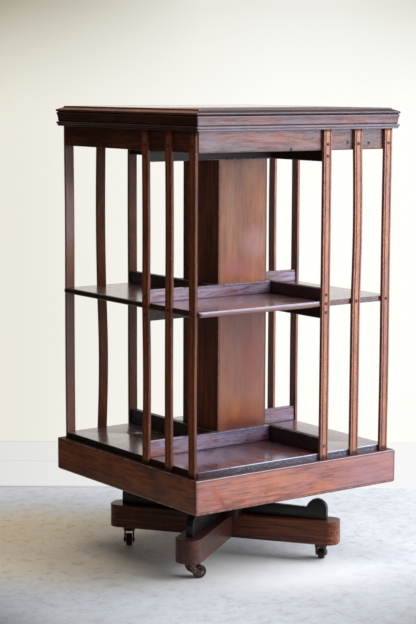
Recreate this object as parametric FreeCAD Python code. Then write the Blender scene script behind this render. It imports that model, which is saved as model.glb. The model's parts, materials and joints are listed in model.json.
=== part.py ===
import FreeCAD, Part
import math
import os

from FreeCAD import Vector

# Two-tier revolving bookcase on a castored cross. Millimetres, +Z up, origin on the
# floor under the spindle. The open side of each bay faces -Y, +X, +Y or -X, and every
# piece of the case is made once for the -Y side and turned in quarters about the spindle.

os.makedirs("parts", exist_ok=True)

# Fits, each used wherever that kind of joint occurs
running_clearance = 0.05        # radial, shaft turning in a bore
thrust_gap = 0.05               # flat bearing faces of the spindle and its cup
side_clearance = 0.6            # castor wheel to horn cheek
loose_clearance = 0.3           # end gaps between pieces that turn past each other

# Castors
wheel_diameter = 25.0
wheel_width = 12.0
wheel_edge_radius = 2.0
castor_height = 37.0            # floor to the underside of the cross
castor_set_in = 36.0            # arm's end to pintle
castor_trail = 17.0             # pintle to axle
pintle_diameter = 7.0
pintle_head_diameter = 11.0
pintle_head_thickness = 1.6
castor_plate_diameter = 34.0
castor_plate_thickness = 2.5
horn_bridge_diameter = 24.0
horn_bridge_thickness = 7.2
horn_cheek_thickness = 3.5
horn_boss_diameter = 12.0
axle_diameter = 4.0
axle_head_diameter = 6.4
axle_head_thickness = 1.0
# where each castor has come to rest, degrees from +X to the side its wheel trails to
castor_heading = {"front": -5.0, "right": 44.0, "back": 150.0, "left": -124.0}

# Cross and braces. The arms stand off the case's diagonals because the case has been turned.
cross_turn = -54.0              # direction of the right-hand arm, degrees from +X
beam_reach = 234.0
beam_width = 50.0
beam_depth = 45.5
beam_end_radius = 20.0
beam_edge_ease = 1.5
brace_thickness = 14.0
brace_set_in = 24.0             # arm's end to the brace's end
brace_inner_height = 25.5
brace_outer_height = 21.5
lobe_radius = 20.0
lobe_height = 39.5
lobe_blend_radius = 6.0
hub_width = 80.0
hub_height = 26.0
hub_corner_radius = 6.0

# Spindle and its two bearings
spindle_diameter = 20.0
spindle_tail_depth = 62.0       # below the top of the hub block
spindle_foot_width = 56.0
spindle_foot_thickness = 6.0
spindle_boss_diameter = 32.0
spindle_boss_height = 6.0
pivot_diameter = 12.0
pivot_length = 17.5
cup_width = 64.0
cup_plate_thickness = 5.0
cup_boss_diameter = 26.0
cup_boss_length = 18.5
collar_flange_diameter = 52.0
collar_flange_thickness = 4.0
collar_sleeve_diameter = 28.0

# Case heights, one above the other
skirt_clearance = 72.0          # top of the arms to the underside of the skirt
skirt_height = 63.5
bottom_board_thickness = 12.0
lower_bay_height = 277.5
shelf_thickness = 10.5
upper_bay_height = 277.5
frieze_height = 38.2            # seen below the cornice
cornice_height = 26.3
top_board_thickness = 12.0

# Case sizes in plan
case_width = 446.0              # across the boards, the slats stand outside this
skirt_ledge = 7.25              # skirt beyond the face of the slats
skirt_thickness = 20.0
skirt_bottom_radius = 4.5
skirt_top_radius = 1.5
column_width = 115.4
column_board_thickness = 15.0
rail_thickness = 12.4
bottom_rail_height = 29.0
shelf_rail_height = 23.0
under_shelf_rail_height = 22.5
top_rail_height = 20.5
rail_edge_ease = 1.2
frieze_thickness = 14.0
soffit_thickness = 9.5
nosing_overhang = 5.0
nosing_stop = 2.6               # end of the nosing short of the first slat
nosing_radius = 4.4
corner_block_width = 25.0
corner_block_height = 28.0

# Slats
slat_width = 19.0
slat_thickness = 6.0
slat_count = 3
slat_corner_inset = 1.6         # edge of the corner slat to the corner of the case
slat_edge_ease = 0.8
quirk_offset = 4.3              # centre of each shallow groove from the slat's edge
quirk_width = 1.6
quirk_depth = 1.0

# Top mouldings
top_overhang = 12.5             # all overhangs are measured from the frieze's face
top_margin = 11.25              # nosing to the raised arris
top_nosing_drop = 6.4
arris_step = 0.8
fascia_foot_overhang = 9.2
bead_overhang = 11.8
fillet_overhang = 9.9
cornice_fillet_height = 3.4
cornice_bead_height = 5.4

# Nails and screws
nail_diameter = 1.6
nail_head_diameter = 3.6
nail_head_height = 1.1
nail_length = 18.0
screw_diameter = 3.0
screw_head_diameter = 6.0
screw_head_depth = 1.5
base_screw_length = 14.0
bearing_screw_length = 11.0

# Sizes that follow from the ones above
case_half = case_width / 2
skirt_half = case_half + slat_thickness + skirt_ledge
column_half = column_width / 2
castor_radius = beam_reach - castor_set_in
brace_reach = beam_reach - brace_set_in
rail_outer = column_half + rail_thickness
slat_first = column_half + rail_thickness / 2
slat_last = case_half - slat_corner_inset - slat_width / 2
slat_spacing = (slat_last - slat_first) / (slat_count - 1)
beam_top = castor_height + beam_depth
hub_top = beam_top + hub_height
skirt_bottom = beam_top + skirt_clearance
skirt_top = skirt_bottom + skirt_height
board_top = skirt_top + bottom_board_thickness
shelf_bottom = board_top + lower_bay_height
shelf_top = shelf_bottom + shelf_thickness
frieze_bottom = shelf_top + upper_bay_height
cornice_bottom = frieze_bottom + frieze_height
top_board_bottom = cornice_bottom + cornice_height
overall_height = top_board_bottom + top_board_thickness
cup_bottom = frieze_bottom - cup_plate_thickness - cup_boss_length
shoulder_height = cup_bottom - thrust_gap
arm_directions = {"front": cross_turn - 90, "right": cross_turn,
                  "back": cross_turn + 90, "left": cross_turn + 180}
sides = ("front", "right", "back", "left")


def box(x0, x1, y0, y1, z0, z1):
    return Part.makeBox(x1 - x0, y1 - y0, z1 - z0, Vector(x0, y0, z0))


def centred_box(size_x, size_y, z0, z1):
    return box(-size_x / 2, size_x / 2, -size_y / 2, size_y / 2, z0, z1)


def cylinder(diameter, z0, z1, x=0.0, y=0.0):
    return Part.makeCylinder(diameter / 2, z1 - z0, Vector(x, y, z0))


def turned(shape, degrees):
    copy = shape.copy()
    copy.rotate(Vector(0, 0, 0), Vector(0, 0, 1), degrees)
    return copy


def moved(shape, x, y, z):
    copy = shape.copy()
    copy.translate(Vector(x, y, z))
    return copy


def prism(points, direction):
    wire = Part.makePolygon(points + [points[0]])
    return Part.Face(wire).extrude(direction)


def rounded(shape, radius, wanted):
    """Fillet the edges for which wanted(midpoint, direction) is true."""
    edges = []
    for edge in shape.Edges:
        middle = edge.valueAt((edge.FirstParameter + edge.LastParameter) / 2)
        along = edge.Vertexes[-1].Point - edge.Vertexes[0].Point
        if along.Length > 1e-6:
            along.normalize()
        if wanted(middle, along):
            edges.append(edge)
    return shape.makeFillet(radius, edges)


def near(a, b):
    return abs(a - b) < 1e-3


def write(name, shape):
    shape.exportStep("parts/" + name + ".step")


def write_group(name, shapes):
    write(name, Part.makeCompound(shapes))


def four_turns(shape):
    return [turned(shape, 90 * i) for i in range(4)]


def mitred(shape, half):
    """Keep the part of a length on the -Y side that lies between its two mitres."""
    reach = half + 10
    wedge = prism([Vector(0, 0, 0), Vector(-reach, -reach, 0), Vector(reach, -reach, 0)],
                  Vector(0, 0, overall_height + 10))
    return shape.common(wedge)


def screw(length, tip_up):
    """Countersunk slotted screw, head face at z = 0."""
    head = Part.makeCone(screw_head_diameter / 2, screw_diameter / 2, screw_head_depth)
    shank = cylinder(screw_diameter, screw_head_depth, length)
    slot = box(-screw_head_diameter, screw_head_diameter, -0.35, 0.35, -1, 0.6)
    body = head.fuse(shank)
    hole = body.copy()
    body = body.cut(slot)
    if not tip_up:
        body.rotate(Vector(0, 0, 0), Vector(1, 0, 0), 180)
        hole.rotate(Vector(0, 0, 0), Vector(1, 0, 0), 180)
    return body, hole


# Nails that fix the slats: heads on the slat's face, shanks into what lies behind it

def nail(x, z):
    """Domed head and shank in one turned piece."""
    face = -case_half - slat_thickness
    r = nail_head_diameter / 2
    ball_radius = (r * r + nail_head_height ** 2) / (2 * nail_head_height)
    ball_centre = face - nail_head_height + ball_radius
    slope = math.asin(r / ball_radius) / 2
    crown = Vector(x, face - nail_head_height, z)
    middle = Vector(x + ball_radius * math.sin(slope), ball_centre - ball_radius * math.cos(slope), z)
    rim = Vector(x + r, face, z)
    neck = Vector(x + nail_diameter / 2, face, z)
    shank_end = Vector(x + nail_diameter / 2, face + nail_length, z)
    centre_end = Vector(x, face + nail_length, z)
    outline = [Part.Arc(crown, middle, rim).toShape(), Part.makeLine(rim, neck),
               Part.makeLine(neck, shank_end), Part.makeLine(shank_end, centre_end),
               Part.makeLine(centre_end, crown)]
    return Part.Face(Part.Wire(outline)).revolve(crown, Vector(0, 1, 0), 360)


frieze_nail = frieze_bottom + 11.0
shelf_nail = (shelf_top + shelf_bottom) / 2
board_nail = skirt_top + bottom_board_thickness / 2
rail_nails = (board_top + bottom_rail_height / 2, shelf_bottom - under_shelf_rail_height / 2,
              shelf_top + shelf_rail_height / 2, frieze_bottom - top_rail_height / 2)
side_nails = []
for i in range(slat_count):
    slat_centre = slat_first + slat_spacing * i
    levels = [board_nail, shelf_nail, frieze_nail]
    if i == 0:
        levels += rail_nails
    side_nails += [nail(slat_centre, level) for level in levels]
slat_nails = [turned(piece, 90 * i) for i in range(4) for piece in side_nails]


def nailed(shape):
    """Cut the holes of every nail that reaches this piece."""
    bounds = shape.BoundBox
    for piece in slat_nails:
        if bounds.intersect(piece.BoundBox):
            shape = shape.cut(piece)
    return shape


# Cross: two beams halved over each other, the side one carrying its lap at the bottom

def beam(lap_below):
    half = beam_width / 2
    body = centred_box(2 * beam_reach, beam_width, castor_height, beam_top)
    body = rounded(body, beam_end_radius, lambda m, d: near(abs(d.z), 1))
    body = rounded(body, beam_edge_ease, lambda m, d: near(m.z, beam_top) or near(m.z, castor_height))
    lap_level = castor_height + beam_depth / 2
    if lap_below:
        notch = box(-half, half, -half - 1, half + 1, castor_height - 1, lap_level)
    else:
        notch = box(-half, half, -half - 1, half + 1, lap_level, beam_top + 1)
    return body.cut(notch)


spindle_socket = cylinder(spindle_diameter, hub_top - spindle_tail_depth, hub_top)
plate_screws = []
plate_holes = []
castor_plates = []
for arm in sides:
    heading = math.radians(arm_directions[arm])
    px = castor_radius * math.cos(heading)
    py = castor_radius * math.sin(heading)
    plate = cylinder(castor_plate_diameter, castor_height - castor_plate_thickness, castor_height)
    bridge_top = castor_height - castor_plate_thickness - loose_clearance
    head_top = bridge_top - horn_bridge_thickness - loose_clearance
    plate = plate.fuse(cylinder(pintle_diameter, head_top, castor_height))
    plate = plate.fuse(cylinder(pintle_head_diameter, head_top - pintle_head_thickness, head_top))
    for k in range(3):
        angle = arm_directions[arm] + 60 + 120 * k
        body, hole = screw(base_screw_length, True)
        at = (13.4, 0, castor_height - castor_plate_thickness)
        plate_screws.append(moved(turned(moved(body, *at), angle), px, py, 0))
        plate_holes.append(moved(turned(moved(hole, *at), angle), px, py, 0))
        plate = plate.cut(turned(moved(hole, *at), angle))
    castor_plates.append(moved(plate, px, py, 0))

foot_screws = []
foot_holes = []
foot_screw_at = spindle_foot_width / 2 - 8
for sx in (-1, 1):
    for sy in (-1, 1):
        body, hole = screw(base_screw_length + 6, False)
        at = (sx * foot_screw_at, sy * foot_screw_at, hub_top + spindle_foot_thickness)
        foot_screws.append(turned(moved(body, *at), cross_turn))
        foot_holes.append(turned(moved(hole, *at), cross_turn))

side_beam = turned(beam(False), cross_turn).cut(spindle_socket)
front_beam = turned(beam(True), cross_turn + 90).cut(spindle_socket)
for hole in plate_holes:
    side_beam = side_beam.cut(hole)
    front_beam = front_beam.cut(hole)
write("cross_beam_side", side_beam)
write("cross_beam_front", front_beam)
write_group("castor_plates", castor_plates)
write_group("base_screws", plate_screws + foot_screws)

hub = centred_box(hub_width, hub_width, beam_top, hub_top)
hub = rounded(hub, hub_corner_radius, lambda m, d: near(abs(d.z), 1))
hub = rounded(hub, beam_edge_ease, lambda m, d: near(m.z, hub_top))
hub = turned(hub, cross_turn).cut(spindle_socket)
for hole in foot_holes:
    hub = hub.cut(hole)
write("hub_block", hub)

# Braces on edge along the arms, each ending in a round lobe

lobe_centre = Vector(brace_reach - lobe_radius, 0, beam_top + lobe_height - lobe_radius)
brace_outline = [Vector(hub_width / 2, 0, beam_top), Vector(brace_reach, 0, beam_top),
                 Vector(brace_reach, 0, lobe_centre.z),
                 Vector(lobe_centre.x, 0, lobe_centre.z),
                 Vector(brace_reach - 2 * lobe_radius, 0, beam_top + brace_outer_height),
                 Vector(hub_width / 2, 0, beam_top + brace_inner_height)]
brace = prism(brace_outline, Vector(0, brace_thickness, 0))
lobe = Part.makeCylinder(lobe_radius, brace_thickness, lobe_centre, Vector(0, 1, 0))
lobe = lobe.common(centred_box(2 * beam_reach, 4 * brace_thickness, beam_top, shelf_bottom))
brace = brace.fuse(lobe).removeSplitter()


def at_lobe_root(middle, along):
    crosswise = near(abs(along.y), 1)
    return crosswise and middle.z > beam_top + 5 and hub_width / 2 + 5 < middle.x < lobe_centre.x


brace = rounded(brace, lobe_blend_radius, at_lobe_root)
brace = moved(brace, 0, -brace_thickness / 2, 0)
for arm in sides:
    write("brace_" + arm, turned(brace, arm_directions[arm]))

# Castors: horn with two curved cheeks, axle riveted through them, wheel free on the axle


def horn():
    bridge_top = castor_height - castor_plate_thickness - loose_clearance
    bridge_bottom = bridge_top - horn_bridge_thickness
    axle_height = wheel_diameter / 2
    bridge = cylinder(horn_bridge_diameter, bridge_bottom, bridge_top)
    bridge = rounded(bridge, 1.5, lambda m, d: near(m.z, bridge_top) or near(m.z, bridge_bottom))
    root = bridge_top - 2.5
    outer = Part.Arc(Vector(-9, 0, root), Vector(-2.2, 0, 14.0), Vector(13.5, 0, 7.6)).toShape()
    foot = Part.makeLine(Vector(13.5, 0, 7.6), Vector(13.0, 0, 16.8))
    inner = Part.Arc(Vector(13.0, 0, 16.8), Vector(6.2, 0, 20.4), Vector(3.5, 0, root)).toShape()
    head = Part.makeLine(Vector(3.5, 0, root), Vector(-9, 0, root))
    outline = Part.Face(Part.Wire([outer, foot, inner, head]))
    inner_face = wheel_width / 2 + side_clearance
    body = bridge
    for start in (inner_face, -inner_face - horn_cheek_thickness):
        cheek = outline.extrude(Vector(0, horn_cheek_thickness, 0))
        boss = Part.makeCylinder(horn_boss_diameter / 2, horn_cheek_thickness,
                                 Vector(castor_trail, 0, axle_height), Vector(0, 1, 0))
        cheek = moved(cheek.fuse(boss), 0, start, 0)
        body = body.fuse(cheek)
    pintle_hole = cylinder(pintle_diameter + 2 * running_clearance, 0, castor_height)
    axle_hole = Part.makeCylinder(axle_diameter / 2, 60, Vector(castor_trail, -30, axle_height),
                                  Vector(0, 1, 0))
    return body.cut(pintle_hole).cut(axle_hole).removeSplitter()


def axle():
    half = wheel_width / 2 + side_clearance + horn_cheek_thickness
    body = Part.makeCylinder(axle_diameter / 2, 2 * half, Vector(0, -half, 0), Vector(0, 1, 0))
    for start in (half, -half - axle_head_thickness):
        body = body.fuse(Part.makeCylinder(axle_head_diameter / 2, axle_head_thickness,
                                           Vector(0, start, 0), Vector(0, 1, 0)))
    return moved(body, castor_trail, 0, wheel_diameter / 2)


def wheel():
    half = wheel_width / 2
    body = Part.makeCylinder(wheel_diameter / 2, wheel_width, Vector(0, -half, 0), Vector(0, 1, 0))
    rim_edges = [e for e in body.Edges if e.Closed]
    body = body.makeFillet(wheel_edge_radius, rim_edges)
    bore = Part.makeCylinder(axle_diameter / 2 + running_clearance, 2 * wheel_width,
                             Vector(0, -wheel_width, 0), Vector(0, 1, 0))
    return moved(body.cut(bore), castor_trail, 0, wheel_diameter / 2)


horn_shape = horn()
axle_shape = axle()
wheel_shape = wheel()
for arm in sides:
    heading = math.radians(arm_directions[arm])
    px = castor_radius * math.cos(heading)
    py = castor_radius * math.sin(heading)
    for name, piece in (("castor_horn_", horn_shape), ("castor_axle_", axle_shape),
                        ("castor_wheel_", wheel_shape)):
        write(name + arm, moved(turned(piece, castor_heading[arm]), px, py, 0))

# Spindle: tail in the cross, foot plate on the hub block, shoulder and pivot at the top

spindle = cylinder(spindle_diameter, hub_top - spindle_tail_depth, shoulder_height)
foot = centred_box(spindle_foot_width, spindle_foot_width, hub_top, hub_top + spindle_foot_thickness)
foot = rounded(foot, 4.0, lambda m, d: near(abs(d.z), 1))
foot_boss_top = hub_top + spindle_foot_thickness + spindle_boss_height
spindle = spindle.fuse(turned(foot, cross_turn)).fuse(cylinder(spindle_boss_diameter, hub_top, foot_boss_top))
pivot = cylinder(pivot_diameter, shoulder_height - 1, shoulder_height + pivot_length)
pivot = rounded(pivot, pivot_diameter / 4, lambda m, d: near(m.z, shoulder_height + pivot_length))
spindle = spindle.fuse(pivot)
for hole in foot_holes:
    spindle = spindle.cut(hole)
write("spindle", spindle.removeSplitter())

# Cup under the soffit and collar in the bottom board, with their screws

cup = centred_box(cup_width, cup_width, frieze_bottom - cup_plate_thickness, frieze_bottom)
cup = rounded(cup, 5.0, lambda m, d: near(abs(d.z), 1))
cup = cup.fuse(cylinder(cup_boss_diameter, cup_bottom, frieze_bottom))
cup_bore_top = shoulder_height + pivot_length + loose_clearance
cup = cup.cut(cylinder(pivot_diameter + 2 * running_clearance, cup_bottom - 1, cup_bore_top))
collar = cylinder(collar_flange_diameter, skirt_top - collar_flange_thickness, skirt_top)
collar = collar.fuse(cylinder(collar_sleeve_diameter, skirt_top, board_top))
collar = collar.cut(cylinder(spindle_diameter + 2 * running_clearance, 0, overall_height))
bearing_screws = []
bearing_holes = []
for k in range(4):
    body, hole = screw(bearing_screw_length, True)
    cup_at = (cup_width / 2 - 8, cup_width / 2 - 8, frieze_bottom - cup_plate_thickness)
    collar_at = (collar_flange_diameter / 2 - 6, 0, skirt_top - collar_flange_thickness)
    for at in (cup_at, collar_at):
        bearing_screws.append(turned(moved(body, *at), 90 * k))
        bearing_holes.append(turned(moved(hole, *at), 90 * k))
for hole in bearing_holes:
    cup = cup.cut(hole)
    collar = collar.cut(hole)
write("pivot_cup", cup)
write("bottom_collar", collar)
write_group("bearing_screws", bearing_screws)

# Skirt: four thick boards mitred at the corners, bottom edge rounded over

skirt = box(-skirt_half, skirt_half, -skirt_half, -skirt_half + skirt_thickness, skirt_bottom, skirt_top)
skirt = rounded(skirt, skirt_bottom_radius, lambda m, d: near(m.z, skirt_bottom) and near(m.y, -skirt_half))
skirt = rounded(skirt, skirt_top_radius, lambda m, d: near(m.z, skirt_top) and near(m.y, -skirt_half))
skirt = mitred(skirt, skirt_half)
for i, side in enumerate(sides):
    write("skirt_" + side, turned(skirt, 90 * i))

inner = skirt_half - skirt_thickness
block = box(-inner, -inner + corner_block_width, -inner, -inner + corner_block_width,
            skirt_top - corner_block_height, skirt_top)
write_group("corner_blocks", four_turns(block))

# Bottom board, one glued-up panel on the skirt

bottom_board = box(-case_half, case_half, -case_half, case_half, skirt_top, board_top)
bottom_board = rounded(bottom_board, 1.0, lambda m, d: near(m.z, board_top))
bottom_board = bottom_board.cut(cylinder(collar_sleeve_diameter, 0, overall_height))
for hole in bearing_holes:
    if hole.BoundBox.ZMax < shelf_bottom:
        bottom_board = bottom_board.cut(hole)
write("bottom_board", nailed(bottom_board))

# Middle shelf: four boards round the column, each with a nosing along its own open bay

shelf = box(-case_half, column_half, -case_half, -column_half, shelf_bottom, shelf_top)
nose_end = slat_first - slat_width / 2 - nosing_stop
nose_front = -case_half - nosing_overhang
nose = box(-case_half, nose_end, nose_front, -case_half + 12, shelf_bottom, shelf_top)
nose = rounded(nose, nosing_radius, lambda m, d: near(m.y, nose_front) and near(abs(d.z), 1))
nose = rounded(nose, nosing_radius, lambda m, d: m.y < -case_half - 0.1 and near(d.z, 0))
shelf = nailed(shelf.fuse(nose).removeSplitter())
for i, side in enumerate(sides):
    write("shelf_" + side, turned(shelf, 90 * i))

# Hollow column of four boards, and the low rails that wrap round it and part the bays

column_board = box(-column_half, column_half - column_board_thickness, -column_half,
                   -column_half + column_board_thickness, board_top, frieze_bottom)
write_group("column", four_turns(column_board))


def rails(bottom, height):
    top = bottom + height
    rail = box(-case_half, column_half, -rail_outer, -column_half, bottom, top)
    free_edge = top if near(bottom, board_top) or near(bottom, shelf_top) else bottom
    rail = rounded(rail, rail_edge_ease, lambda m, d: near(m.z, free_edge) and near(abs(d.x), 1))
    return [nailed(piece) for piece in four_turns(rail)]


write_group("rails_bottom", rails(board_top, bottom_rail_height))
write_group("rails_above_shelf", rails(shelf_top, shelf_rail_height))
write_group("rails_below_shelf", rails(shelf_bottom - under_shelf_rail_height, under_shelf_rail_height))
write_group("rails_top", rails(frieze_bottom - top_rail_height, top_rail_height))

# Slats: two shallow quirks along the face, eased corners, nailed to the outside

half = slat_width / 2
quirk = half - quirk_offset
slat_section = [Vector(-half, 0, 0), Vector(-half, -slat_thickness + slat_edge_ease, 0),
                Vector(-half + slat_edge_ease, -slat_thickness, 0)]
for centre in (-quirk, quirk):
    slat_section += [Vector(centre - quirk_width / 2, -slat_thickness, 0),
                     Vector(centre, -slat_thickness + quirk_depth, 0),
                     Vector(centre + quirk_width / 2, -slat_thickness, 0)]
slat_section += [Vector(half - slat_edge_ease, -slat_thickness, 0),
                 Vector(half, -slat_thickness + slat_edge_ease, 0), Vector(half, 0, 0)]
slat = prism(slat_section, Vector(0, 0, cornice_bottom - skirt_top))
for n in range(slat_count):
    placed = moved(slat, slat_first + slat_spacing * n, -case_half, skirt_top)
    placed = nailed(placed)
    for i, side in enumerate(sides):
        write("slat_" + side + "_" + str(n + 1), turned(placed, 90 * i))
write_group("slat_nails", slat_nails)

# Frieze and soffit

frieze = box(-case_half, case_half - frieze_thickness, -case_half, -case_half + frieze_thickness,
             frieze_bottom, top_board_bottom)
frieze = nailed(frieze)
for i, side in enumerate(sides):
    write("frieze_" + side, turned(frieze, 90 * i))
soffit_width = case_width - 2 * frieze_thickness
soffit = centred_box(soffit_width, soffit_width, frieze_bottom, frieze_bottom + soffit_thickness)
for hole in bearing_holes:
    if hole.BoundBox.ZMax > shelf_top:
        soffit = soffit.cut(hole)
write("soffit_board", soffit)

# Cornice: fascia hollowed a little, bead and fillet, mitred lengths planted round the frieze

tip = case_half + top_overhang
fillet_out = case_half + fillet_overhang
bead_out = case_half + bead_overhang
fascia_foot = case_half + fascia_foot_overhang
fascia_head = tip - 0.9
fillet_top = cornice_bottom + cornice_fillet_height
bead_top = fillet_top + cornice_bead_height


def at(out, z):
    return Vector(-case_half - 40, -out, z)


cornice_edges = [
    Part.makeLine(at(case_half, cornice_bottom), at(fillet_out, cornice_bottom)),
    Part.makeLine(at(fillet_out, cornice_bottom), at(fillet_out, fillet_top)),
    Part.Arc(at(fillet_out, fillet_top), at(bead_out, (fillet_top + bead_top) / 2),
             at(fillet_out - 0.6, bead_top)).toShape(),
    Part.makeLine(at(fillet_out - 0.6, bead_top), at(fascia_foot - 1.2, bead_top)),
    Part.makeLine(at(fascia_foot - 1.2, bead_top), at(fascia_foot, bead_top + 1.6)),
    Part.Arc(at(fascia_foot, bead_top + 1.6), at(fascia_foot + 0.7, bead_top + 9.0),
             at(fascia_head, top_board_bottom - 0.9)).toShape(),
    Part.makeLine(at(fascia_head, top_board_bottom - 0.9), at(fascia_head - 1.4, top_board_bottom)),
    Part.makeLine(at(fascia_head - 1.4, top_board_bottom), at(case_half, top_board_bottom)),
    Part.makeLine(at(case_half, top_board_bottom), at(case_half, cornice_bottom)),
]
cornice = Part.Face(Part.Wire(cornice_edges)).extrude(Vector(2 * case_half + 80, 0, 0))
cornice = mitred(cornice, case_half + 30)
write_group("cornice", four_turns(cornice))

# Top board: flat field, raised arris, slope down to a thin rounded nosing

flat_out = tip - top_margin
tip_top = overall_height - top_nosing_drop
section = [(-fascia_head + 0.6, top_board_bottom), (-tip + 0.3, top_board_bottom + 0.9),
           (-tip, top_board_bottom + 1.9), (-tip, tip_top - 0.9), (-tip + 0.5, tip_top),
           (-flat_out - 0.8, overall_height - arris_step), (-flat_out, overall_height)]
section += [(-out, z) for out, z in reversed(section)]
long_x = prism([Vector(-tip - 5, y, z) for y, z in section], Vector(2 * tip + 10, 0, 0))
top_board = long_x.common(turned(long_x, 90))
write("top_board", top_board)
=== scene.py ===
import json
from math import acos, cos, pi, radians, sin, tan

import bmesh
import bpy
import numpy as np
from bpy.props import FloatProperty, FloatVectorProperty, IntProperty, PointerProperty
from mathutils import Matrix, Vector

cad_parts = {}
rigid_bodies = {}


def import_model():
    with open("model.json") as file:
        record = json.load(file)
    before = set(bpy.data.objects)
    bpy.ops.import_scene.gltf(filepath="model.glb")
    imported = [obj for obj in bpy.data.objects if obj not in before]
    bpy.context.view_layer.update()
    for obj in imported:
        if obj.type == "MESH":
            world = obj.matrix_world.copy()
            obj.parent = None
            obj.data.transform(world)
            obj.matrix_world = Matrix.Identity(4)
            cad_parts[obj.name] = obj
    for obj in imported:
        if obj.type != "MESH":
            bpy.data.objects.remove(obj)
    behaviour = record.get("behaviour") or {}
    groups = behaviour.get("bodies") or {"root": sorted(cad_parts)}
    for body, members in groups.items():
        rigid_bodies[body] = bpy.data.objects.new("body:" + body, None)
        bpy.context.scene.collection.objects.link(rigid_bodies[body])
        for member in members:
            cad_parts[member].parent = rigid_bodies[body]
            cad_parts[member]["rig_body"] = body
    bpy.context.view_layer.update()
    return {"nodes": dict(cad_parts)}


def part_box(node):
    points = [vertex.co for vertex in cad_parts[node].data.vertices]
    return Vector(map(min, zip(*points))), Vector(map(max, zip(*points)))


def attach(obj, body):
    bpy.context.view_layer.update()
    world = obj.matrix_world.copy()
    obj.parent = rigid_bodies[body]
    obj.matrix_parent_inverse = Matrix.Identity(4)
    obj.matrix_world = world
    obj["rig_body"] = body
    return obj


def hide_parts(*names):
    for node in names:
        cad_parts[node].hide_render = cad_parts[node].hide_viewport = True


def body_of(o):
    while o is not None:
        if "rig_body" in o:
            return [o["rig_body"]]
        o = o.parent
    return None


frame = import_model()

bl_info = {
    "name": "Revolving Bookcase",
    "version": (1, 0, 0),
    "blender": (4, 5, 0),
    "location": "View3D > Sidebar > Bookcase",
    "description": "Mahogany boards, castors and a plain stage for a revolving bookcase",
    "category": "Object",
}

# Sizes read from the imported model, in metres. The open side of each bay faces -Y, +X, +Y or -X,
# and every board is worked out once for the -Y side and turned in quarters about the spindle.

SIDES = ("front", "right", "back", "left")
RAILS = ("rails_bottom", "rails_below_shelf", "rails_above_shelf", "rails_top")


def span(node):
    """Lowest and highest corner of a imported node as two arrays."""
    low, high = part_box(node)
    return np.array(low), np.array(high)


board_low, board_high = span("bottom_board")
case_half = board_high[0]
skirt_low, skirt_high = span("skirt_front")
skirt_half = skirt_high[0]
column_low, column_high = span("column")
column_half = column_high[0]
slat_low, slat_high = span("slat_front_1")
slat_first = (slat_low[0] + slat_high[0]) / 2
rail_outer = 2 * slat_first - column_half
frieze_low, frieze_high = span("frieze_front")
cornice_low, cornice_high = span("cornice")
top_low, top_high = span("top_board")
shelf_low, shelf_high = span("shelf_front")
arm_angle = radians(-54.0)
shelf_level = (shelf_low[2] + shelf_high[2]) / 2
nail_levels = [(skirt_high[2] + board_high[2]) / 2, shelf_level, frieze_low[2] + 0.011,
               *[sum(span(group))[2] / 2 for group in RAILS]]
SLIGHT = 0.0003  # a barely eased edge, and the first step away from a rounded one
MITRE_EASE = 0.0012


# Sizes and colours a user may change

def length(name, description, default, low, high):
    return FloatProperty(name=name, description=description, default=default, min=low, max=high,
                         unit="LENGTH", subtype="DISTANCE")


def colour(name, description, default):
    return FloatVectorProperty(name=name, description=description, default=default, size=3,
                               min=0, max=1, subtype="COLOR")


class BookcaseSizes(bpy.types.PropertyGroup):
    """Sizes of the worked edges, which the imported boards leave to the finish."""
    arris: length("Arris", "Rounding of the boards' worn edges", 0.0011, 0.0002, 0.003)
    skirt_foot: length("Skirt foot", "Rounding of the skirt's lower outer edge", 0.0045, 0.001, 0.009)
    skirt_corner: length("Skirt corner", "Rounding of the skirt's upright corners", 0.0022, 0.0005, 0.006)
    quirk_width: length("Quirk width", "Width of the shallow grooves along each slat", 0.0016, 0.0005, 0.003)
    quirk_depth: length("Quirk depth", "Depth of the shallow grooves along each slat", 0.001, 0.0002, 0.002)
    quirk_inset: length("Quirk inset", "Slat's edge to the middle of its groove", 0.0043, 0.002, 0.007)
    slat_bow: length("Slat bow", "How far the most bent slat has moved between its nails", 0.0036, 0.0, 0.006)
    metal_arris: length("Metal arris", "Rounding of the castors' cast edges", 0.0005, 0.0001, 0.001)
    brace_arris: length("Brace arris", "Rounding of the braces' edges", 0.0009, 0.0002, 0.002)


class BookcaseColours(bpy.types.PropertyGroup):
    """Colours of the woods, the metal and the floor."""
    red_brown: colour("Red brown", "Middle tone of the polished mahogany", (0.29, 0.068, 0.02))
    orange: colour("Orange", "Light bands of the mahogany's figure", (0.47, 0.135, 0.03))
    deep: colour("Deep brown", "Dark bands of the mahogany's figure", (0.12, 0.026, 0.012))
    # Smoke is the colour of old polish and dirt, and also of painted shade: hollows and the boards that face
    # away from the light are darkened to it.
    smoke: colour("Smoke", "Old polish and dirt in hollows and on shaded boards", (0.016, 0.0095, 0.0065))
    ebony: colour("Ebonised", "Black stain of the braces", (0.0075, 0.0072, 0.0072))
    bronze: colour("Bronze", "Dulled metal of the castors", (0.1, 0.062, 0.042))
    floor: colour("Floor", "Pale grey of the floor", (0.6, 0.645, 0.71))


class BookcaseStage(bpy.types.PropertyGroup):
    """Lamps, the distance of the wall and the fineness of the boards."""
    window_power: FloatProperty(
        name="Window", description="Power of the tall window in front, to the right",
        default=285.0, min=0.0, unit="POWER")
    shine: FloatProperty(
        name="Shine", description="Brightness of the window as polish reflects it", default=4.4, min=0.0)
    fill: FloatProperty(
        name="Fill", description="Level of the room's light from all round", default=0.15, min=0.0, max=1.0)
    wall_distance: length("Wall distance", "Spindle to the wall behind the bookcase", 0.535, 0.3, 5.0)
    stations: IntProperty(
        name="Stations", description="Sections along each long board", default=48, min=8, max=200)


def sizes():
    return bpy.context.scene.bookcase_sizes


def colours():
    return bpy.context.scene.bookcase_colours


def stage_values():
    return bpy.context.scene.bookcase_stage


# Shader trees

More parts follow.
